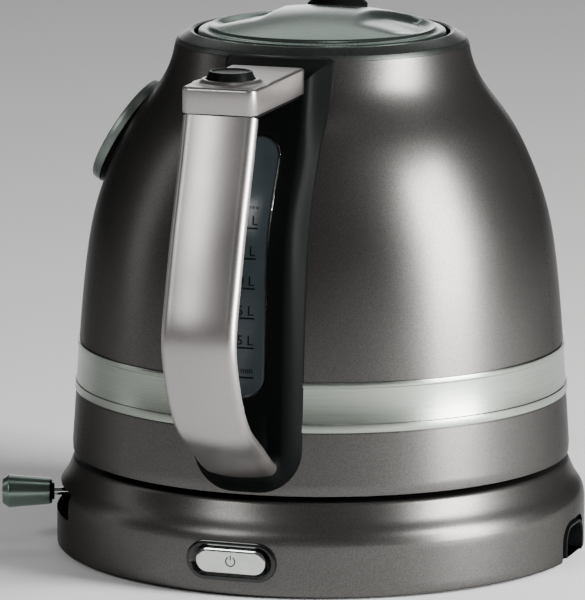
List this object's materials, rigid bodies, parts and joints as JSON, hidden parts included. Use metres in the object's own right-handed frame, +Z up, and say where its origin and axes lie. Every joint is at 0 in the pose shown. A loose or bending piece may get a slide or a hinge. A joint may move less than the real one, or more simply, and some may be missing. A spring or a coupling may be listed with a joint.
{
  "type": "electric kettle",
  "caption": "Dome-shaped cordless electric kettle on a swivel base, with a hinged lid, angular metal handle, water window, round thermometer, temperature lever and power button.",
  "frame": {"origin": "on the surface the base stands on, under the kettle's axis", "axes": "+Z up; +X towards the handle and the power button; -X towards the spout; -Y towards the thermometer and the temperature lever; +Y towards the cord outlet"},
  "size_m": [0.273, 0.2319, 0.2219],
  "materials": {
    "pewter_paint": "satin metallic paint",
    "brushed_band": "brushed",
    "lid_steel": "polished and lightly brushed",
    "satin_aluminium": "satin",
    "black_plastic": "fine matt texture",
    "dark_ring": "gloss",
    "chrome_trim": "polished",
    "vessel_steel": "satin",
    "window_plastic": "clear, faint blue grey",
    "dial_glass": "clear",
    "dial_face": "matt print",
    "needle_red": "matt",
    "grey_plastic": "matt",
    "board_green": "matt",
    "rubber": "matt"
  },
  "bodies": {
    "base": {"base_shell": "pewter_paint", "base_cover": "black_plastic", "base_screws": "vessel_steel", "base_feet": "rubber", "connector_socket": "black_plastic", "control_board": "board_green", "lever_track": "grey_plastic", "slot_plate": "black_plastic", "button_surround": "black_plastic", "cord_tunnel": "black_plastic", "cord_gland": "black_plastic"},
    "temperature_lever": {"lever_carriage": "grey_plastic", "lever_stem": "chrome_trim", "lever_knob": "chrome_trim"},
    "power_switch": {"power_button": "chrome_trim", "power_plunger": "grey_plastic"},
    "kettle": {"outer_shell": "pewter_paint", "vessel_floor": "vessel_steel", "inner_vessel": "vessel_steel", "vessel_shoulder": "vessel_steel", "heater_plate": "satin_aluminium", "heating_element": "vessel_steel", "kettle_cover": "black_plastic", "kettle_screws": "vessel_steel", "kettle_connector": "black_plastic", "temperature_probe": "vessel_steel", "trim_band": "brushed_band", "handle_spine": "black_plastic", "window_trim": "chrome_trim", "water_window": "window_plastic", "window_backing": "grey_plastic", "handle_cap": "satin_aluminium", "button_collar": "satin_aluminium", "release_spring": "vessel_steel", "handle_grip": "satin_aluminium", "handle_liner": "black_plastic", "handle_foot": "black_plastic", "spout": "pewter_paint", "spout_filter": "vessel_steel", "neck_ring": "dark_ring", "lid_hinge_pin": "chrome_trim", "gauge_housing": "black_plastic", "gauge_bezel": "chrome_trim", "gauge_dial": "dial_face", "gauge_lens": "dial_glass", "gauge_pin": "chrome_trim"},
    "dial_needle": {"gauge_needle": "needle_red"},
    "lid": {"lid_cover": "lid_steel", "lid_pad": "black_plastic", "lid_inner": "grey_plastic", "lid_seal": "rubber"},
    "lid_release": {"release_button": "black_plastic"},
    "lid_latch": {"release_latch": "grey_plastic"}
  },
  "joints": [
    {"name": "kettle_lift", "type": "slide", "parent": "base", "child": "kettle", "axis": [0, 0, 1], "range_m": [0, 0.08]},
    {"name": "lid_hinge", "type": "hinge", "parent": "kettle", "child": "lid", "pos_m": [0.0482, 0, 0.2095], "axis": [0, 1, 0], "range_deg": [0, 80]},
    {"name": "release_press", "type": "slide", "parent": "kettle", "child": "lid_release", "axis": [0, 0, -1], "range_m": [0, 0.0022], "stiffness_N_per_m": 400, "springref_m": -0.001, "deforming": ["release_spring"]},
    {"name": "latch_slide", "type": "slide", "parent": "kettle", "child": "lid_latch", "axis": [1, 0, 0], "range_m": [0, 0.00176]},
    {"name": "needle_turn", "type": "hinge", "parent": "kettle", "child": "dial_needle", "pos_m": [0, -0.08298, 0.16653], "axis": [0, -0.8572, 0.515], "range_deg": [-240, 0]},
    {"name": "lever_turn", "type": "hinge", "parent": "base", "child": "temperature_lever", "pos_m": [0, 0, 0.0212], "axis": [0, 0, 1], "range_deg": [-48, 12]},
    {"name": "power_press", "type": "slide", "parent": "base", "child": "power_switch", "axis": [-0.9994, 0.0349, 0], "range_m": [0, 0.0015], "stiffness_N_per_m": 600, "springref_m": -0.001}
  ],
  "couplings": [
    {"joint": "latch_slide", "follows": "release_press", "ratio": 0.8}
  ]
}
